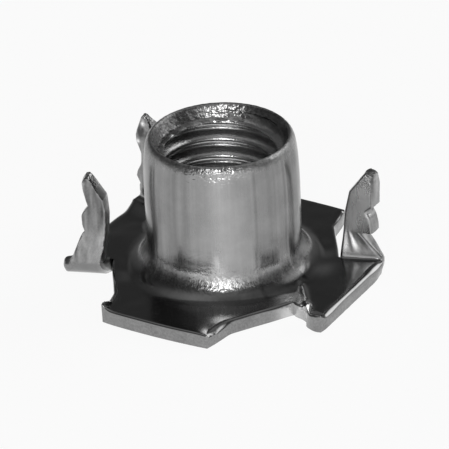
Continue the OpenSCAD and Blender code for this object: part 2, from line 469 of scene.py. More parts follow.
def prong_rows(prong):
    """Rows of a prong: its ends on the concave face, thickness direction and thickness."""
    rows = []
    radius, fold_end = prong["fold"]
    for a in np.linspace(0, 90, BEND_ROWS):
        narrow = prong["foot_in"] * ease(max(0, a - NARROW_FROM) / NARROW_OVER)
        narrow -= prong["bulge"] * bell(a, BULGE_AT, BULGE_OVER)
        angle, gap = math.radians(a * fold_end / 90), prong["gap"] * ease(a / 90)
        rows.append((*bend_row(angle, radius, narrow, gap), SHEET))

    point, through = place_blade(prong)
    barbs = rounded([(prong["width"] - x, z) for x, z in prong["barbs"]], prong["turns"])
    smooth = rounded(prong["smooth"], SMOOTH_TURNS)
    top = min(barbs[-1][1], smooth[-1][1])
    start = barbs[0][1]
    wanted = np.concatenate([np.arange(start, top, BLADE_ROW), barbs[:, 1], smooth[:, 1]])
    levels = [start]
    for z in sorted({round(float(z), 2) for z in wanted}):
        if z > levels[-1] + BLADE_ROW_LEAST:
            levels.append(z)
    levels[-1] = top

    foot = point(barbs[0][0], start), point(0, start)
    rows += foot_rows(prong, rows[-1][:2], foot, through(start))
    for z in levels:
        x_out = np.interp(z, barbs[:, 1], barbs[:, 0])
        x_in = np.interp(z, smooth[:, 1], smooth[:, 0])
        thick = SHEET - prong["thin"] * step(z, top - TIP, top)
        rows.append((point(x_out, z), point(x_in, z), through(z), thick))
    return rows


COLS = np.linspace(0, 1, N_FOLD + 1)[1:-1]
# rolled edges of a prong: the width at the fold, how much more after some rows, and at the tip
PRONG_ROLL = 0.16
FOOT_ROLL_MORE, FOOT_ROLL_ROWS = 0.08, 10
TIP_ROLL_MORE, TIP_ROLL_ROWS = 0.1, 4
# the row at which a foot's edges are worn most, over how many rows, and how much its outer edge is
WORN_ROW, WORN_ROWS, WORN_OUT = 7, 5, 0.3
WORN_ALL = 0.04  # the wear that every edge has
# the crease: its place across the blade and its width there, its height and its reach up and down
CREASE_AT, CREASE_WIDE, CREASE_Z, CREASE_TALL = 0.66, 0.1, 2.6, 0.8
FACE_LIGHT_FROM_Z, FACE_LIGHT_FULL_Z = 1.4, 2.6


def fold_edge(name):
    """The flange's top and lower vertices along a fold, from its outer to its inner end."""
    out_i, in_i, _ = FOLDS[name]
    side = 1 if in_i > out_i else -1
    run = list(range(out_i, in_i + side, side))
    return [top_edge[i] for i in run], [low_edge[i] for i in run]


def mirrored(p, signs):
    return p * [*signs, 1]


def across(first, last):
    """Points between two vertices, without either."""
    return [lerp(verts[first], verts[last], t) for t in COLS]


def crease(t, z):
    return bell(t, CREASE_AT, CREASE_WIDE) * math.exp(-((z - CREASE_Z) / CREASE_TALL) ** 4)


def build_prong(name, prong):
    rows = [(*(mirrored(v, FOLDS[name][2]) for v in row[:3]), row[3]) for row in prong_rows(prong)]
    out_i, in_i, _ = FOLDS[name]
    upper, lower = fold_edge(name)
    chain_out, chain_in = flange_chain[out_i], flange_chain[in_i]
    last = len(rows) - 1
    for b in range(1, last + 1):
        p_out, p_in, n, thick = rows[b]
        span = unit(p_in - p_out)
        into_out, into_in = span, -span
        if b == last:
            back = unit(lerp(*rows[b - 1][:2], 0.5) - (p_out + p_in) / 2)
            into_out, into_in = unit(span + back), unit(-span + back)
        w = PRONG_ROLL + FOOT_ROLL_MORE * min(1, b / FOOT_ROLL_ROWS)
        w += TIP_ROLL_MORE * max(0, b - last + TIP_ROLL_ROWS) / TIP_ROLL_ROWS
        at_foot = bell(b, WORN_ROW, WORN_ROWS)
        w_out, worn_in = w + WORN_OUT * at_foot, prong["worn_in"] * at_foot
        worn_out = WORN_OUT * at_foot
        new_out = edge(chain(p_out, into_out, n, w_out, w_out, thick, worn_out + WORN_ALL))
        new_in = edge(chain(p_in, into_in, n, w, w, thick, worn_in + WORN_ALL))
        skin(chain_out, new_out)
        skin(chain_in, new_in)
        if b < last:
            front = across(new_out[0], new_in[0])
            front = [p - n * prong["crease"] * crease(t, p[2]) for t, p in zip(COLS, front)]
            face = [new_out[0]] + put(front) + [new_in[0]]
            for v in face:
                # painted light on the prong's face, fading in with height
                painted_light[v] = prong["painted_face_light"] * step(verts[v][2], FACE_LIGHT_FROM_Z, FACE_LIGHT_FULL_Z)
            rear = [new_out[-1]] + put(across(new_out[-1], new_in[-1])) + [new_in[-1]]
        else:
            tips = [edge(chain(lerp(p_out, p_in, t), back, n, w, w, thick, WORN_ALL)) for t in COLS]
            tips = [new_out] + tips + [new_in]
            for a, c in zip(tips, tips[1:]):
                skin(a, c)
            face = [tip[0] for tip in tips]
            rear = [tip[-1] for tip in tips]
        skin(upper, face)
        skin(lower, rear)
        upper, lower, chain_out, chain_in = face, rear, new_out, new_in


for name, prong in PRONGS.items():
    build_prong(name, prong)

# -------- barrel
HEADINGS = np.arange(N) / N * 2 * math.pi
FACE_R = 8.2  # where the flange's top meets the fillet
FILLET_R, FILLET_Z = 8.02, 3.2
FOOT_R = 6.02  # the barrel's radius above the fillet
FILLET_ANGLES = np.radians(np.linspace(90, 0, 19))
# (radius, height) up the barrel's wall, over the rim and into the countersink
BARREL = [
    (6.025, 3.8), (6.035, 5.0), (6.04, 6.5), (6.035, 8.0), (6.015, 9.0), (5.985, 9.7), (5.95, 10.3),
    (5.905, 10.8), (5.85, 11.2), (5.79, 11.5), (5.72, 11.72), (5.64, 11.88), (5.56, 11.99),
    (5.49, 12.06), (5.42, HEIGHT), (5.34, 12.07), (5.27, 12.01), (5.22, 11.95),
]


def circle(r, z):
    return put([(r * math.cos(a), r * math.sin(a), z) for a in HEADINGS])


def fillet(a):
    wide, tall = FILLET_R - FOOT_R, FILLET_Z - SHEET
    return FILLET_R - wide * math.cos(a), FILLET_Z - tall * math.sin(a)


inner_ring = circle(FACE_R, SHEET)
ring = inner_ring
for r, z in [fillet(a) for a in FILLET_ANGLES] + BARREL:
    nxt = circle(r, z)
    skin(ring, nxt, closed=True)
    ring = nxt
mouth_ring = ring

# -------- thread
# The bore's rows follow the helix. A phase is a share of the pitch, from the middle of a crest.
PHASES = [-0.2, -0.15, -0.1, -0.05, 0.0, 0.05, 0.1, 0.15, 0.2,
          0.26, 0.32, 0.38, 0.44, 0.5, 0.56, 0.62, 0.68, 0.74]
TURNS = range(-8, 4)
CREST_END, ROOT_START = 0.25, 0.44
CREST_CURVE, ROOT_ROUND = 4.7, 0.05
SINK_Z = [10.98, 11.14, 11.95]  # the countersink: heights, and the radius at each
SINK_R = [4.2, 4.75, 5.22]
ENTRY = 1.1  # radius of the draw-in on the underside
Z_TOP, Z_LOW, Z_CLEAR = 11.93, 0.02, 0.02
FIRST, LAST, PAST = -10 ** 6, 10 ** 6, 10 ** 7  # row numbers that stand for a column's ends


def thread_r(phase):
    """Radius of the thread: a rounded crest, a flank of 30 degrees and a rounded root."""
    a = abs((phase + 0.5) % 1 - 0.5)
    if a <= CREST_END:
        return BORE_R + CREST_CURVE * a * a
    if a >= ROOT_START:
        return ROOT_R - ROOT_ROUND * ((0.5 - a) / (0.5 - ROOT_START)) ** 2
    crest_edge, root_edge = BORE_R + CREST_CURVE * CREST_END ** 2, ROOT_R - ROOT_ROUND
    return crest_edge + (root_edge - crest_edge) * (a - CREST_END) / (ROOT_START - CREST_END)


def entry_r(z):
    return BORE_R + ENTRY - math.sqrt(max(0, ENTRY ** 2 - (ENTRY - z) ** 2))


def bore_r(phase, z):
    r = thread_r(phase)
    if z > SINK_Z[0]:
        r = max(r, float(np.interp(z, SINK_Z, SINK_R)))
    if z < ENTRY:
        r = max(r, entry_r(z))
    return r


low_ring = circle(entry_r(Z_LOW), Z_LOW)
rows_per_pitch = len(PHASES)
columns = []
for i, heading in enumerate(HEADINGS):
    base = CREST_Z + PITCH * (heading - CREST_HEADING) / (2 * math.pi)
    column = [(FIRST, low_ring[i])]
    for k in TURNS:
        for j, phase in enumerate(PHASES):
            z = base + PITCH * (k + phase)
            if Z_LOW + Z_CLEAR < z < Z_TOP - Z_CLEAR:
                r = bore_r(phase, z)
                vertex = put([(r * math.cos(heading), r * math.sin(heading), z)])[0]
                column.append((k * rows_per_pitch + j, vertex))
    column.append((LAST, mouth_ring[i]))
    columns.append(column)


def stitch_columns(a, b, shift=0):
    """Faces between two columns whose rows are matched by number."""
    i = j = 0
    while i < len(a) - 1 or j < len(b) - 1:
        ka = a[i + 1][0] if i < len(a) - 1 else PAST
        kb = b[j + 1][0] if j < len(b) - 1 else PAST
        if abs(ka) < LAST:
            ka -= shift
        if ka == kb or (ka >= LAST and kb >= LAST):
            faces.append([a[i][1], b[j][1], b[j + 1][1], a[i + 1][1]])
            i, j = i + 1, j + 1
        elif ka < kb:
            faces.append([a[i][1], b[j][1], a[i + 1][1]])
            i += 1
        else:
            faces.append([a[i][1], b[j][1], b[j + 1][1]])
            j += 1


for i in range(N - 1):
    stitch_columns(columns[i], columns[i + 1])
stitch_columns(columns[-1], columns[0], shift=-rows_per_pitch)

# -------- flange faces
TOP_RINGS, UNDER_RINGS = 12, 8
UNDER_CLEAR = 0.05  # how far the underside's first ring lies outside the draw-in


def flange_face(ring, rim, count, z):
    """Rings at a height from the barrel out to the flange's edge, kept clear of the torn fold."""
    inner_ring = ring
    for k in range(1, count):
        places = []
        for i in range(N):
            end = kept_clear.get(i, verts[rim[i]][:2])
            steps = count - 1 if i in kept_clear else count
            places.append([*lerp(verts[inner_ring[i]][:2], end, k / steps), z])
        nxt = put(places)
        skin(ring, nxt, closed=True)
        ring = nxt
    skin(ring, rim, closed=True)


flange_face(inner_ring, top_edge, TOP_RINGS, SHEET)
under_ring = circle(BORE_R + ENTRY + UNDER_CLEAR, 0)
skin(low_ring, under_ring, closed=True)
flange_face(under_ring, low_edge, UNDER_RINGS, 0)

# -------- zones of the surface
# where each zone lies, in millimetres: radii and heights, as (start, end) where it fades in
MOUTH_R, BORE_Z, SINK_Z_FROM = 5.3, 0.3, 11.1
BARREL_R, BARREL_Z = 8.1, (1.3, 2.2)
ROOT_Z, ROOT_TALL = 2.3, 0.9
RIM_R, RIM_Z = 6.1, (11.0, 11.9)
TOP_R, TOP_Z = 6.5, (0.9, 1.5)
UNDER_R, UNDER_Z = 5.6, 0.3
PRONG_R, PRONG_Z = 8.3, 1.6
# the parts of the rim that sparkle (the back one also takes a painted highlight in the
# countersink):
# heading and width in degrees, radius and height
FRONT, FRONT_R, FRONT_Z = (LIGHT_SIDE, 24), 6.2, (10.2, 10.9)
BEHIND, BEHIND_R, BEHIND_Z = (117, 26), 5.4, 11.0
# a ridge from the barrel's foot to the torn prong
RIDGE = np.array([(6.9, -0.75), (7.6, -1.45), (8.05, -1.95), (8.89, -3.1), (9.3, -3.76)])
RIDGE_X, RIDGE_Y = 6.5, (-4.5, 0)  # where the distance to it counts
FAR = 9.0


def distance_to(path, x, y):
    """Distance from a point to a path."""
    best = FAR
    for a, b in zip(path, path[1:]):
        t = clamp(float((np.array([x, y]) - a) @ (b - a)) / float((b - a) @ (b - a)))
        best = min(best, math.dist((x, y), a + t * (b - a)))
    return best


class Spot:
    """A vertex of the even mesh, and how far it lies in each zone, from 0 to 1."""

    def __init__(self, i, x, y, z):
        self.place = self.x, self.y, self.z = x, y, z
        self.r = r = math.hypot(x, y)
        self.heading = math.atan2(y, x)
        self.degrees = math.degrees(self.heading)
        self.is_cut = i in cut
        self.painted_light = painted_light.get(i, 0)
        self.on_barrel = (MOUTH_R < r < BARREL_R) * step(z, *BARREL_Z)
        self.at_root = self.on_barrel * bell(z, ROOT_Z, ROOT_TALL)
        self.at_rim = (r < RIM_R) * step(z, *RIM_Z)
        self.in_bore = r < MOUTH_R and z > BORE_Z
        self.in_sink = self.in_bore and z > SINK_Z_FROM
        self.on_top = r > TOP_R and TOP_Z[0] < z < TOP_Z[1]
        self.under = r > UNDER_R and z < UNDER_Z
        self.on_prong = r > PRONG_R and z > PRONG_Z
        near_ridge = self.on_top and x > RIDGE_X and RIDGE_Y[0] < y < RIDGE_Y[1]
        self.from_ridge = distance_to(RIDGE, x, y) if near_ridge else FAR
        self.front = bell(self.degrees, *FRONT) * (MOUTH_R < r < FRONT_R) * step(z, *FRONT_Z)
        self.behind = bell(self.degrees, *BEHIND) * (y > 0) * (r < BEHIND_R and z > BEHIND_Z)

    def angle_from(self, side):
        """How many degrees the vertex's heading is from another."""
        return abs((self.degrees - side + 180) % 360 - 180)


# -------- unevenness, in millimetres
# draw lines on the barrel: heading in degrees, depth, width in degrees; the one with a depth below
# 0 is raised and painted lighter, a painted highlight
DRAW_LINES = [
    (-35, 0.020, 0.9), (-120.5, 0.014, 1.0), (-7, 0.016, 0.7), (-98, 0.007, 1.2), (-52, 0.006, 1.4),
    (-18, 0.008, 0.8), (150, 0.015, 1.1), (60, 0.012, 1.0), (-4.5, -0.03, 0.45),
]
# dents in the flange: centre, reach, depth (raised if it is below 0)
DENTS = [
    ((5.9, 4.6), 1.3, 0.12), ((-5.9, -4.6), 1.3, 0.1), ((9.6, -4.3), 1.0, 0.1),
    ((4.7, -10.3), 0.75, 0.12), ((-1.5, -8.8), 1.4, -0.03), ((-9.4, -0.6), 1.8, -0.05),
    ((7.8, -5.2), 1.0, 0.06), ((-4.9, -10.8), 0.7, -0.16), ((9.3, -3.76), 0.35, -0.2),
]
# heights of the noise: at the barrel's root, all over its wall, at its rim and in the countersink
ROOT_ROUGH, DRAWN_ROUGH = 0.012, 0.004
RIM_ROUGH, SINK_ROUGH = 0.02, 0.028
RIM_LIFT = 0.4  # how much of the rim's roughness is upwards too
SAG, SAG_FINE = 0.03, 0.009
UNDER_SHARE = 0.3  # how much of a sag shows on the underside
RIDGE_HIGH, RIDGE_WIDE = 0.1, 0.24
# a low swell that the ridge runs along: its start, its slope in plan, and where it fades in and out
SWELL_HIGH, SWELL_WIDE, SWELL_START, SWELL_SLOPE = 0.05, 0.42, (7.6, -1.2), 1.45
SWELL_IN, SWELL_OUT = (7.0, 7.8), (9.3, 10.2)
GROOVE_MEAN, GROOVE_WAVE, GROOVE_PACE = 0.6, 0.4, 0.9  # how a draw line's depth waves with height
GROOVE_Z = (2.0, 3.4)
# the lower outer corner of the right fold: where it is, and how much it is rounded, over what reach
CORNER_X, CORNER_Y, CORNER_TOP = 10, 3.5, 1.3
CORNER_IN, CORNER_REACH = 0.22, 0.8
# the flange's rise to the back prong's fold: how much, and over what distance from the fold
BACK_RISE, BACK_REACH = 0.3, 0.9
BACK_RISE_Z, BACK_RISE_X = (1.2, 3.4), (7.2, 8.4)


def draw_noise(spot, fine, tall, seed):
    """Noise that runs along the barrel's drawing direction."""
    x, y = math.cos(spot.heading) * fine, math.sin(spot.heading) * fine
    return noise.noise(Vector((x, y, spot.z * tall + seed)))


def off_line(spot, at):
    return math.degrees(spot.heading - math.radians(at))


def barrel_rough(spot):
    """How far the barrel's wall stands out from its even shape."""
    groove = sum(depth * bell(off_line(spot, at), 0, width)
                 * (GROOVE_MEAN + GROOVE_WAVE * math.sin(spot.z * GROOVE_PACE + at))
                 for at, depth, width in DRAW_LINES)
    rough = ROOT_ROUGH * spot.at_root * draw_noise(spot, fine=26, tall=0.5, seed=3.0)
    rough += DRAWN_ROUGH * draw_noise(spot, fine=3.2, tall=0.12, seed=8.0)
    rough += RIM_ROUGH * spot.at_rim * ragged(spot.place, scale=3.2, seed=1.0)
    return rough - groove * step(spot.z, *GROOVE_Z) * (1 - spot.at_rim)


def flange_sag(spot):
    """How far the flange's face lies above its even shape."""
    x, y = spot.x, spot.y
    sag = SAG * ragged((x, y, 0), scale=0.28, seed=2.0)
    sag += SAG_FINE * ragged((x, y, 0), scale=0.9, seed=6.0)
    sag -= spots(DENTS, (x, y))
    off_swell = y - SWELL_START[1] + (x - SWELL_START[0]) * SWELL_SLOPE
    swell = bell(off_swell, 0, SWELL_WIDE) * step(x, *SWELL_IN) * (1 - step(x, *SWELL_OUT))
    sag += SWELL_HIGH * swell
    return sag + RIDGE_HIGH * bell(spot.from_ridge, 0, RIDGE_WIDE)


def uneven(spot):
    """The place of a vertex on the uneven surface."""
    x, y, z = spot.place
    if spot.on_barrel or spot.in_sink:
        if spot.on_barrel:
            rough = barrel_rough(spot)
            z += RIM_LIFT * rough * spot.at_rim
        else:
            rough = SINK_ROUGH * ragged(spot.place, scale=3.0, seed=4.0)
        x, y = x + rough * math.cos(spot.heading), y + rough * math.sin(spot.heading)
    elif spot.on_top:
        z += flange_sag(spot)
    elif spot.under:
        z += max(0.0, UNDER_SHARE * flange_sag(spot))
    if x > CORNER_X and y > CORNER_Y and spot.z < CORNER_TOP:
        near = bell(math.dist((x, y), FOLD_OUT), 0, CORNER_REACH)
        x -= CORNER_IN * near * (1 - z / CORNER_TOP) ** 2
    if spot.r > PRONG_R and x < 0 < y and spot.z < BACK_RISE_Z[1]:
        inside = float((FOLD_OUT - np.array([x, y]) * BACK_SIGNS) @ AWAY)
        rise = BACK_RISE * bell(max(0, inside), 0, BACK_REACH)
        z += rise * (1 - step(z, *BACK_RISE_Z)) * step(-x, *BACK_RISE_X)
    return x, y, z


# -------- look of the surface
# Zones of the material, by vertex: grain is how grainy, streak how streaked along the draw and
# spark how lumpy the surface is. Shade is how much darker (above 0) or lighter its colour is
# painted: mostly painted shade and painted light, besides the draw lines and the prongs' streaks.


def grain_of(s):
    return max(s.at_rim, 0.9 * s.at_root, 0.9 * s.in_sink, 0.8 * s.in_bore, 0.55 * s.is_cut,
               0.35 * s.on_prong, 0.12)


def streak_of(s):
    return max(s.on_barrel, 1.4 * s.on_prong, 0.1)


def hump(value, strength, middle, width):
    return strength * bell(value, middle, width)


ROOT_SPARK = (0.6, 0, 30)  # strength, middle and width by the angle from the light
TIP_SPARK, RIGHT_SHARE, TIP_SPARK_Z = 0.8, 0.4, (7.4, 8.4)


def spark_of(s):
    on_tip = TIP_SPARK * s.on_prong * step(s.z, *TIP_SPARK_Z)
    if min(s.x, s.y) > 0:
        on_tip *= RIGHT_SHARE
    return max(s.front, s.behind, s.at_root * hump(s.angle_from(LIGHT_SIDE), *ROOT_SPARK), on_tip)


# Strengths of the shades, each with its middle and its width: by heading or by the angle from the
# light in degrees, or else in millimetres. Heights are (middle, width), or (start, end) of a fade.
LINE_DARK, LINE_DEPTH, LINE_SPREAD = 0.25, 0.02, 1.3  # a line LINE_DEPTH deep is shaded in full
SIDE_PAINTED_SHADE, SIDE_Z = (0.4, 82, 16), (3.0, 5.0)  # painted shade on the wall's sides, by the angle from the light
BODY_PAINTED_HIGHLIGHT = (0.5, -60, 20)  # a painted highlight down the wall in front
# painted light at the wall's foot, at two headings
FOOT_PAINTED_LIGHTS, FOOT_Z = [(1.1, -82, 17), (1.1, -23, 13)], (3.4, 0.8)
ROOT_PAINTED_SHADE, ROOT_LIT = 0.45, 20  # painted shade on the fillet, but for where it is lit,
ROOT_HEADING = -0.1  # up to this heading, in radians
# more painted shade on the fillet, right of the light, and in a streak down it
ROOT_PAINTED_SHADE_RIGHT = (0.4, -12, 20)
FILLET_PAINTED_SHADE, FILLET_DARK_Z, FILLET_DARK_R = (0.5, 0, 16), (1.9, 0.5), (6, 8)


def barrel_shade(s):
    """Painted light in front and at the foot; painted shade at root and sides; darker draw lines.
    """
    from_light = s.angle_from(LIGHT_SIDE)
    lines = sum(depth / LINE_DEPTH * bell(off_line(s, at), 0, LINE_SPREAD * width)
                for at, depth, width in DRAW_LINES)
    body = LINE_DARK * lines * (s.on_barrel > 0)
    body += s.on_barrel * step(s.z, *SIDE_Z) * hump(from_light, *SIDE_PAINTED_SHADE)
    foot = bell(s.z, *FOOT_Z) * sum(hump(s.degrees, *patch) for patch in FOOT_PAINTED_LIGHTS)
    light = s.on_barrel * (hump(s.degrees, *BODY_PAINTED_HIGHLIGHT) + foot)
    unlit = ROOT_PAINTED_SHADE * (1 - bell(from_light, 0, ROOT_LIT)) * (s.heading < ROOT_HEADING)
    root = s.at_root * max(unlit, hump(s.degrees, *ROOT_PAINTED_SHADE_RIGHT))
    on_fillet = FILLET_DARK_R[0] < s.r < FILLET_DARK_R[1]
    # a streak of painted shade down the fillet
    streak = hump(s.degrees, *FILLET_PAINTED_SHADE) * bell(s.z, *FILLET_DARK_Z) * on_fillet
    return body * (1 - s.at_rim) - light + root + streak


# painted light in the thread, painted shade in the countersink and a painted highlight at its back
THREAD_PAINTED_LIGHT, THREAD_TOP_Z = 0.9, 11.05
BORE_DIM_SIDE, BORE_DIM = 173, (0.8, 0, 24)  # the bore's back left, which gets less painted light
SINK_PAINTED_SHADE, SINK_PAINTED_HIGHLIGHT = 0.4, 1.2


def bore_shade(s):
    """Painted light in the thread but its back left; painted shade in the countersink, highlight
    behind.
    """
    thread = THREAD_PAINTED_LIGHT * (s.in_bore and s.z < THREAD_TOP_Z)
    thread *= 1 - hump(s.angle_from(BORE_DIM_SIDE), *BORE_DIM)
    return s.in_sink * (SINK_PAINTED_SHADE - SINK_PAINTED_HIGHLIGHT * s.behind) - thread


# spots of painted light and a painted highlight on the flange's top, and painted light on its cut
# edge: centre, reach, strength
TOP_PAINTED_LIGHTS = [((8.75, -3.9), 0.35, 1.1), ((9.35, -3.9), 0.4, 2.2)]
CUT_PAINTED_LIGHTS = [((8.9, -4.3), 1.1, 0.5)]
SLIT_TURN, TURN_PAINTED_LIGHT = (7.9, 4.2), (1.3, 0, 0.9)  # painted light where the slit turns, in every quadrant
# painted shade in a ring under the fillet, and a painted reflection in an oval on it
RING, RING_Z, RING_PAINTED_SHADE, RING_MORE, RING_MORE_AT = (7.0, 0.5), 2.0, 0.1, 0.45, (-80, -55)
OVAL, OVAL_PAINTED_REFLECTION, OVAL_SQUASH, OVAL_R, OVAL_Z = (7.7, 1.7), (1.6, 0, 0.85), 0.8, 6.3, (0.9, 2.6)
# painted highlights along the ridge and on the torn prong's tongue
RIDGE_PAINTED_HIGHLIGHT = (1.1, 0, 0.26)
TONGUE_PAINTED_HIGHLIGHT, TONGUE_Z = (2.9, 0, 0.42), (0.85, 1.25)


def flange_shade(s):
    """Painted shade in a ring under the fillet; painted light in an oval, spots, the ridge and torn
    prong.
    """
    plan = (s.x, s.y)
    ring = bell(s.r, *RING) * (s.z < RING_Z and s.heading < 0)
    ring *= RING_PAINTED_SHADE + RING_MORE * step(s.degrees, *RING_MORE_AT)
    from_oval = math.hypot(s.x - OVAL[0], OVAL_SQUASH * (s.y - OVAL[1]))
    oval = hump(from_oval, *OVAL_PAINTED_REFLECTION) * (OVAL_Z[0] < s.z < OVAL_Z[1] and s.r > OVAL_R)
    top = hump(s.from_ridge, *RIDGE_PAINTED_HIGHLIGHT) + s.on_top * spots(TOP_PAINTED_LIGHTS, plan)
    turn = hump(math.dist((abs(s.x), abs(s.y)), SLIT_TURN), *TURN_PAINTED_LIGHT)
    wall = s.is_cut * (turn + spots(CUT_PAINTED_LIGHTS, plan))
    tongue = hump(math.dist(plan, TONGUE), *TONGUE_PAINTED_HIGHLIGHT) * step(s.z, *TONGUE_Z)
    return ring - oval - top - wall - tongue


# spots on the back prong, a painted shade and two painted highlights: centre, reach, strength
# (lighter if it is below 0)
PRONG_PAINTED_SHADE_AND_HIGHLIGHTS = [((-9.77, 4.15, 8.13), 0.45, 0.75), ((-9.53, 4.13, 8.97), 0.17, -3),
               ((-10.05, 4.18, 7.34), 0.15, -3)]
# painted shade on the back prong's cut edges near its tip
BACK_TIP_PAINTED_SHADE, BACK_TIP_Z = 0.22, (7.6, 8.3)
STREAK_DARK, STREAK_FINE, STREAK_TALL = 0.6, 4, 0.45
MOTTLE_DARK, MOTTLE_Z = 0.7, (7.6, 8.6)
LEFT_FOOT_PAINTED_LIGHT, LEFT_Z = 0.35, (3.6, 5.0)  # painted light on the left prong's foot,
LEFT_HEADING = -2  # below this heading, in radians


def prong_shade(s):
    """Streaks, mottled tips; painted light on faces, left foot; painted shade and highlights, back
    prong.
    """
    # painted shade at the back tip's edges, less the faces' painted light
    shade = BACK_TIP_PAINTED_SHADE * s.is_cut * (s.x < 0 < s.y) * step(s.z, *BACK_TIP_Z) - s.painted_light
    if s.on_prong:
        streaked = Vector((STREAK_FINE * s.x, STREAK_FINE * s.y, STREAK_TALL * s.z))
        mottle = ragged(s.place, scale=3.5, seed=7.0) * step(s.z, *MOTTLE_Z)
        shade += STREAK_DARK * noise.noise(streaked) + MOTTLE_DARK * mottle
        shade += spots(PRONG_PAINTED_SHADE_AND_HIGHLIGHTS, s.place)
        shade -= LEFT_FOOT_PAINTED_LIGHT * (s.heading < LEFT_HEADING) * (1 - step(s.z, *LEFT_Z))
    return shade


def shade_of(s):
    return barrel_shade(s) + bore_shade(s) + flange_shade(s) + prong_shade(s)


ZONES = {"grain": grain_of, "streak": streak_of, "shade": shade_of, "spark": spark_of}
zone_values = {name: [] for name in ZONES}
for i, place in enumerate(verts):
    spot = Spot(i, *place)
    verts[i] = uneven(spot)
    for name, value_of in ZONES.items():
        zone_values[name].append(float(value_of(spot)))

# -------- object
SHARP_ANGLE = math.radians(38)
mesh = bpy.data.meshes.new("tee_nut_stamping")
mesh.from_pydata([(x * MM, y * MM, z * MM) for x, y, z in verts], [], faces)
for name, values in zone_values.items():
    mesh.attributes.new(name, "FLOAT", "POINT").data.foreach_set("value", values)
bm = bmesh.new()
bm.from_mesh(mesh)
bmesh.ops.recalc_face_normals(bm, faces=bm.faces)
for face in bm.faces:
    face.smooth = True
bm.to_mesh(mesh)
bm.free()
mesh.set_sharp_from_angle(angle=SHARP_ANGLE)
nut = add_object("tee_nut_stamping", mesh)

# -------- nodes


def node(tree, kind, **settings):
    n = tree.nodes.new(kind)
    for key, value in settings.items():
        setattr(n, key, value)
    return n


def feed(tree, socket, value):
    """Sets a socket to a value or links it to an output."""
    if isinstance(value, bpy.types.NodeSocket):
        tree.links.new(value, socket)
    else:
        socket.default_value = value


def fill(tree, kind, inputs, **settings):
    """A node with its inputs set or linked, by name or number."""
    n = node(tree, kind, **settings)
    for key, value in inputs.items():
        feed(tree, n.inputs[key], value)
    return n


def math_node(tree, operation, *values):
    return fill(tree, "ShaderNodeMath", dict(enumerate(values)), operation=operation).outputs[0]


def vector_node(tree, operation, inputs, output="Vector"):
    return fill(tree, "ShaderNodeVectorMath", inputs, operation=operation).outputs[output]


def noise_node(tree, vector, scale, detail, rough):
    inputs = {"Scale": scale, "Detail": detail, "Roughness": rough, "Vector": vector}
    return fill(tree, "ShaderNodeTexNoise", inputs).outputs["Fac"]


NOISE_LOW, NOISE_HIGH = 0.3, 0.7  # noise lies mostly between these


def spread(tree, value, to_low, to_high):
    """Noise spread over a range."""
    inputs = dict(enumerate((value, NOISE_LOW, NOISE_HIGH, to_low, to_high)))
    return fill(tree, "ShaderNodeMapRange", inputs).outputs[0]


# -------- material
TONE, TONE_LEAST = (0.225, 0.275), 0.08
LINE_TONE, SHADE_TONE, SPECK_TONE = 0.2, 0.26, 0.35  # what the zones add to or take from the tone; shade brings in painted light and shade
ROUGH, GRAIN_ROUGH = 0.11, 0.14
STREAK_ROUGH = (0.07, 0.15)
BLOTCH_ROUGH = 0.03
SPARK_GLOSS = 0.5  # the share of the roughness that sparks take away
SPARK_BUMP, STREAK_BUMP, BUMP_DEPTH = 5.0, 0.05, 0.03 * MM
DRAW_SQUASH = 0.006  # how slowly the streaks change with height


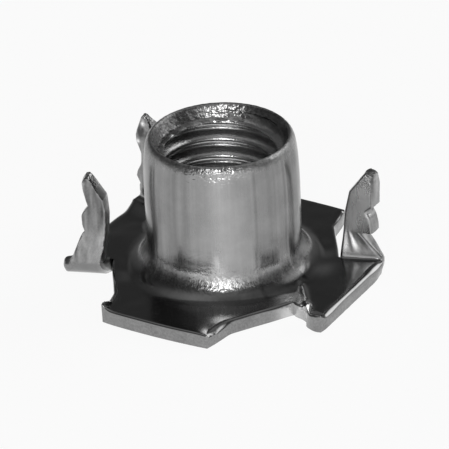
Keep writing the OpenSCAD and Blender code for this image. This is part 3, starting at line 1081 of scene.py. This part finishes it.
def plated_steel():
    """Drawn sheet steel under bright zinc: streaked along the draw, grained where torn or cut."""
    material = bpy.data.materials.new("plated_steel")
    material.use_nodes = True
    tree = material.node_tree
    shader = tree.nodes["Principled BSDF"]

    def calc(operation, *values):
        return math_node(tree, operation, *values)

    place = node(tree, "ShaderNodeTexCoord").outputs["Object"]
    mm = vector_node(tree, "SCALE", {0: place, "Scale": 1 / MM})
    xyz = fill(tree, "ShaderNodeSeparateXYZ", {0: mm}).outputs
    flat = fill(tree, "ShaderNodeCombineXYZ", {"X": xyz["X"], "Y": xyz["Y"]}).outputs[0]
    outwards = vector_node(tree, "NORMALIZE", {0: flat})
    around = fill(tree, "ShaderNodeSeparateXYZ", {0: outwards}).outputs
    height = calc("MULTIPLY", xyz["Z"], DRAW_SQUASH)
    turned = {"X": around["X"], "Y": around["Y"], "Z": height}
    along = fill(tree, "ShaderNodeCombineXYZ", turned).outputs[0]
    grain, streak, shade, spark = (
        node(tree, "ShaderNodeAttribute", attribute_name=name).outputs["Fac"]
        for name in ("grain", "streak", "shade", "spark"))

    fine = noise_node(tree, mm, scale=5.5, detail=3.0, rough=0.6)
    coarse = noise_node(tree, mm, scale=2.6, detail=2.0, rough=0.55)
    blotch = noise_node(tree, mm, scale=0.55, detail=3.0, rough=0.55)
    draw = noise_node(tree, along, scale=7, detail=3.0, rough=0.55)
    draw_fine = noise_node(tree, along, scale=48, detail=2.0, rough=0.6)

    lines = calc("MULTIPLY", streak, calc("SUBTRACT", draw, 0.5))
    tone = calc("ADD", spread(tree, blotch, *TONE), calc("MULTIPLY", lines, LINE_TONE))
    # the shade zone paints light and shade into the tone
    tone = calc("SUBTRACT", tone, calc("MULTIPLY", shade, SHADE_TONE))
    specks = calc("MULTIPLY", calc("SUBTRACT", fine, 0.5), calc("MULTIPLY", grain, SPECK_TONE))
    tone = calc("MAXIMUM", calc("ADD", tone, specks), TONE_LEAST)
    grey = {"Red": tone, "Green": tone, "Blue": tone}
    feed(tree, shader.inputs["Base Color"], fill(tree, "ShaderNodeCombineColor", grey).outputs[0])

    rough = calc("MULTIPLY_ADD", calc("MINIMUM", grain, 1.0), GRAIN_ROUGH, ROUGH)
    streaked = calc("MULTIPLY", streak, spread(tree, draw_fine, *STREAK_ROUGH))
    rough = calc("ADD", rough, streaked)
    rough = calc("ADD", rough, spread(tree, blotch, BLOTCH_ROUGH, -BLOTCH_ROUGH))
    rough = calc("MULTIPLY", rough, calc("SUBTRACT", 1.0, calc("MULTIPLY", spark, SPARK_GLOSS)))
    feed(tree, shader.inputs["Roughness"], rough)

    bumps = calc("MULTIPLY", fine, grain)
    bumps = calc("MULTIPLY_ADD", coarse, calc("MULTIPLY", spark, SPARK_BUMP), bumps)
    bumps = calc("MULTIPLY_ADD", calc("MULTIPLY", draw_fine, streak), STREAK_BUMP, bumps)
    bump = fill(tree, "ShaderNodeBump", {"Strength": 1.0, "Distance": BUMP_DEPTH, "Height": bumps})
    feed(tree, shader.inputs["Normal"], bump.outputs[0])
    shader.inputs["Metallic"].default_value = 1.0
    return material


mesh.materials.append(plated_steel())

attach(nut, "root")
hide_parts("tee_nut")

# -------- floor
FLOOR = 8  # half its side
FLOOR_Z = -0.02 * MM
FLOOR_GREY = (0.9, 0.9, 0.9, 1)
FLOOR_GLOW = 0.92  # how much of the white glow the camera and reflections see
corners = [(-FLOOR, -FLOOR, 0), (FLOOR, -FLOOR, 0), (FLOOR, FLOOR, 0), (-FLOOR, FLOOR, 0)]
floor_mesh = bpy.data.meshes.new("floor")
floor_mesh.from_pydata(corners, [], [(0, 1, 2, 3)])
floor = add_object("floor", floor_mesh)
floor.location.z = FLOOR_Z


def paper_white():
    """Matt paper in the light, and nearly white to the camera, reflections and transmission."""
    material = bpy.data.materials.new("paper")
    material.use_nodes = True
    tree = material.node_tree
    tree.nodes.clear()
    rays = node(tree, "ShaderNodeLightPath").outputs
    seen = math_node(tree, "MAXIMUM", rays["Is Camera Ray"], rays["Is Glossy Ray"])
    seen = math_node(tree, "MAXIMUM", seen, rays["Is Transmission Ray"])
    matt = fill(tree, "ShaderNodeBsdfDiffuse", {"Color": FLOOR_GREY}).outputs[0]
    glow = fill(tree, "ShaderNodeEmission", {"Strength": 1.0}).outputs[0]
    share = math_node(tree, "MULTIPLY", seen, FLOOR_GLOW)
    mix = fill(tree, "ShaderNodeMixShader", {"Fac": share, 1: matt, 2: glow}).outputs[0]
    fill(tree, "ShaderNodeOutputMaterial", {"Surface": mix})
    return material


floor_mesh.materials.append(paper_white())

# -------- world
world = bpy.data.worlds.new("studio")
scene.world = world
world.use_nodes = True
sky = world.node_tree
sky.nodes.clear()
sky_ray = node(sky, "ShaderNodeTexCoord").outputs["Generated"]
sky_height = fill(sky, "ShaderNodeSeparateXYZ", {0: sky_ray}).outputs["Z"]


def direction(heading, elevation):
    """Unit vector towards a heading and an elevation, in degrees."""
    a, e = math.radians(heading), math.radians(elevation)
    return math.cos(a) * math.cos(e), math.sin(a) * math.cos(e), math.sin(e)


def by_height(stops):
    """Light by the height of a direction, from 0 at the horizon to 1, as (height, grey)."""
    ramp = fill(sky, "ShaderNodeValToRGB", {"Fac": sky_height})
    elements = ramp.color_ramp.elements
    for _ in stops[2:]:
        elements.new(0.5)
    for element, (height, grey) in zip(elements, stops):
        element.position = height
        element.color = (grey, grey, grey, 1)
    return ramp.outputs["Color"]


def fade(ray, towards, inner, outer, level=1.0):
    """A level of light within the inner angle from a direction, fading out to the outer angle."""
    unit_ray = vector_node(sky, "NORMALIZE", {0: ray})
    facing = vector_node(sky, "DOT_PRODUCT", {0: unit_ray, 1: towards}, output="Value")
    limits = {"Value": facing, "From Min": math.cos(math.radians(outer)),
              "From Max": math.cos(math.radians(inner)), "To Max": level}
    faded = fill(sky, "ShaderNodeMapRange", limits, interpolation_type="SMOOTHSTEP")
    return faded.outputs[0]


def band(heading, inner, outer, stops):
    """Light round the horizon towards a heading, by height through the stops."""
    flat = vector_node(sky, "MULTIPLY", {0: sky_ray, 1: (1, 1, 0)})
    aside = fade(flat, direction(heading, 0), inner, outer)
    return math_node(sky, "MULTIPLY", aside, by_height(stops))


light = by_height([(0.0, 0.32), (0.06, 0.2), (0.3, 0.16), (0.5, 0.06), (0.72, 0.12), (0.95, 0.45)])
for more in (
    band(CAMERA_SIDE + 4, 48, 64, [(0.0, 0.5), (0.15, 0.45), (0.3, 0.0)]),
    band(CAMERA_SIDE + 6, 15, 50, [(0.0, 0.7), (0.2, 0.9), (0.45, 0.8), (0.62, 0.12), (0.75, 0.0)]),
    fade(sky_ray, direction(LIGHT_SIDE, 28), inner=6, outer=16, level=4.0),
    fade(sky_ray, direction(CAMERA_SIDE + 110, 27), inner=8, outer=26, level=2.6),
):
    light = math_node(sky, "ADD", light, more)
back = fill(sky, "ShaderNodeBackground", {"Color": light}).outputs[0]
fill(sky, "ShaderNodeOutputWorld", {"Surface": back})

# -------- lamp
LAMP_ELEVATION, LAMP_DISTANCE, LAMP_SIZE, LAMP_POWER = 30, 0.6, 0.1, 0.2
lamp = bpy.data.lights.new("front_lamp", "AREA")
lamp.shape = "DISK"
lamp.size = LAMP_SIZE
lamp.energy = LAMP_POWER
front_lamp = add_object("front_lamp", lamp)
front_lamp.location = Vector(direction(LIGHT_SIDE, LAMP_ELEVATION)) * LAMP_DISTANCE
front_lamp.rotation_euler = front_lamp.location.to_track_quat("Z", "Y").to_euler()

# -------- camera
HEADING = np.array([0.5139, -0.8579])  # towards the camera, in plan
ELEVATION = math.radians(28.62)
TILT = math.radians(-2.66)
DISTANCE = 320 * MM
LENS, SENSOR = 330.3, 36
AIM_Z = 3.65 * MM
FRAME_PX = 449
SHIFT_PX = (-0.3, 6.39)  # where the point aimed at lies from the frame's middle
CLIP = (0.01, 50)
toward = np.array([*(HEADING * math.cos(ELEVATION)), math.sin(ELEVATION)])
level_right = np.array([-HEADING[1], HEADING[0], 0.0])
level_up = np.cross(toward, level_right)
right = math.cos(TILT) * level_right + math.sin(TILT) * level_up
up = -math.sin(TILT) * level_right + math.cos(TILT) * level_up
place = np.array([0, 0, AIM_Z]) + toward * DISTANCE
cam_data = bpy.data.cameras.new("camera")
cam_data.lens = LENS
cam_data.sensor_width = SENSOR
cam_data.shift_x = -SHIFT_PX[0] / FRAME_PX
cam_data.shift_y = SHIFT_PX[1] / FRAME_PX
cam_data.clip_start, cam_data.clip_end = CLIP
camera = add_object("camera", cam_data)
camera.matrix_world = Matrix([[*row] for row in zip(right, up, toward, place)] + [[0, 0, 0, 1]])
scene.camera = camera
scene.view_settings.view_transform = "Standard"
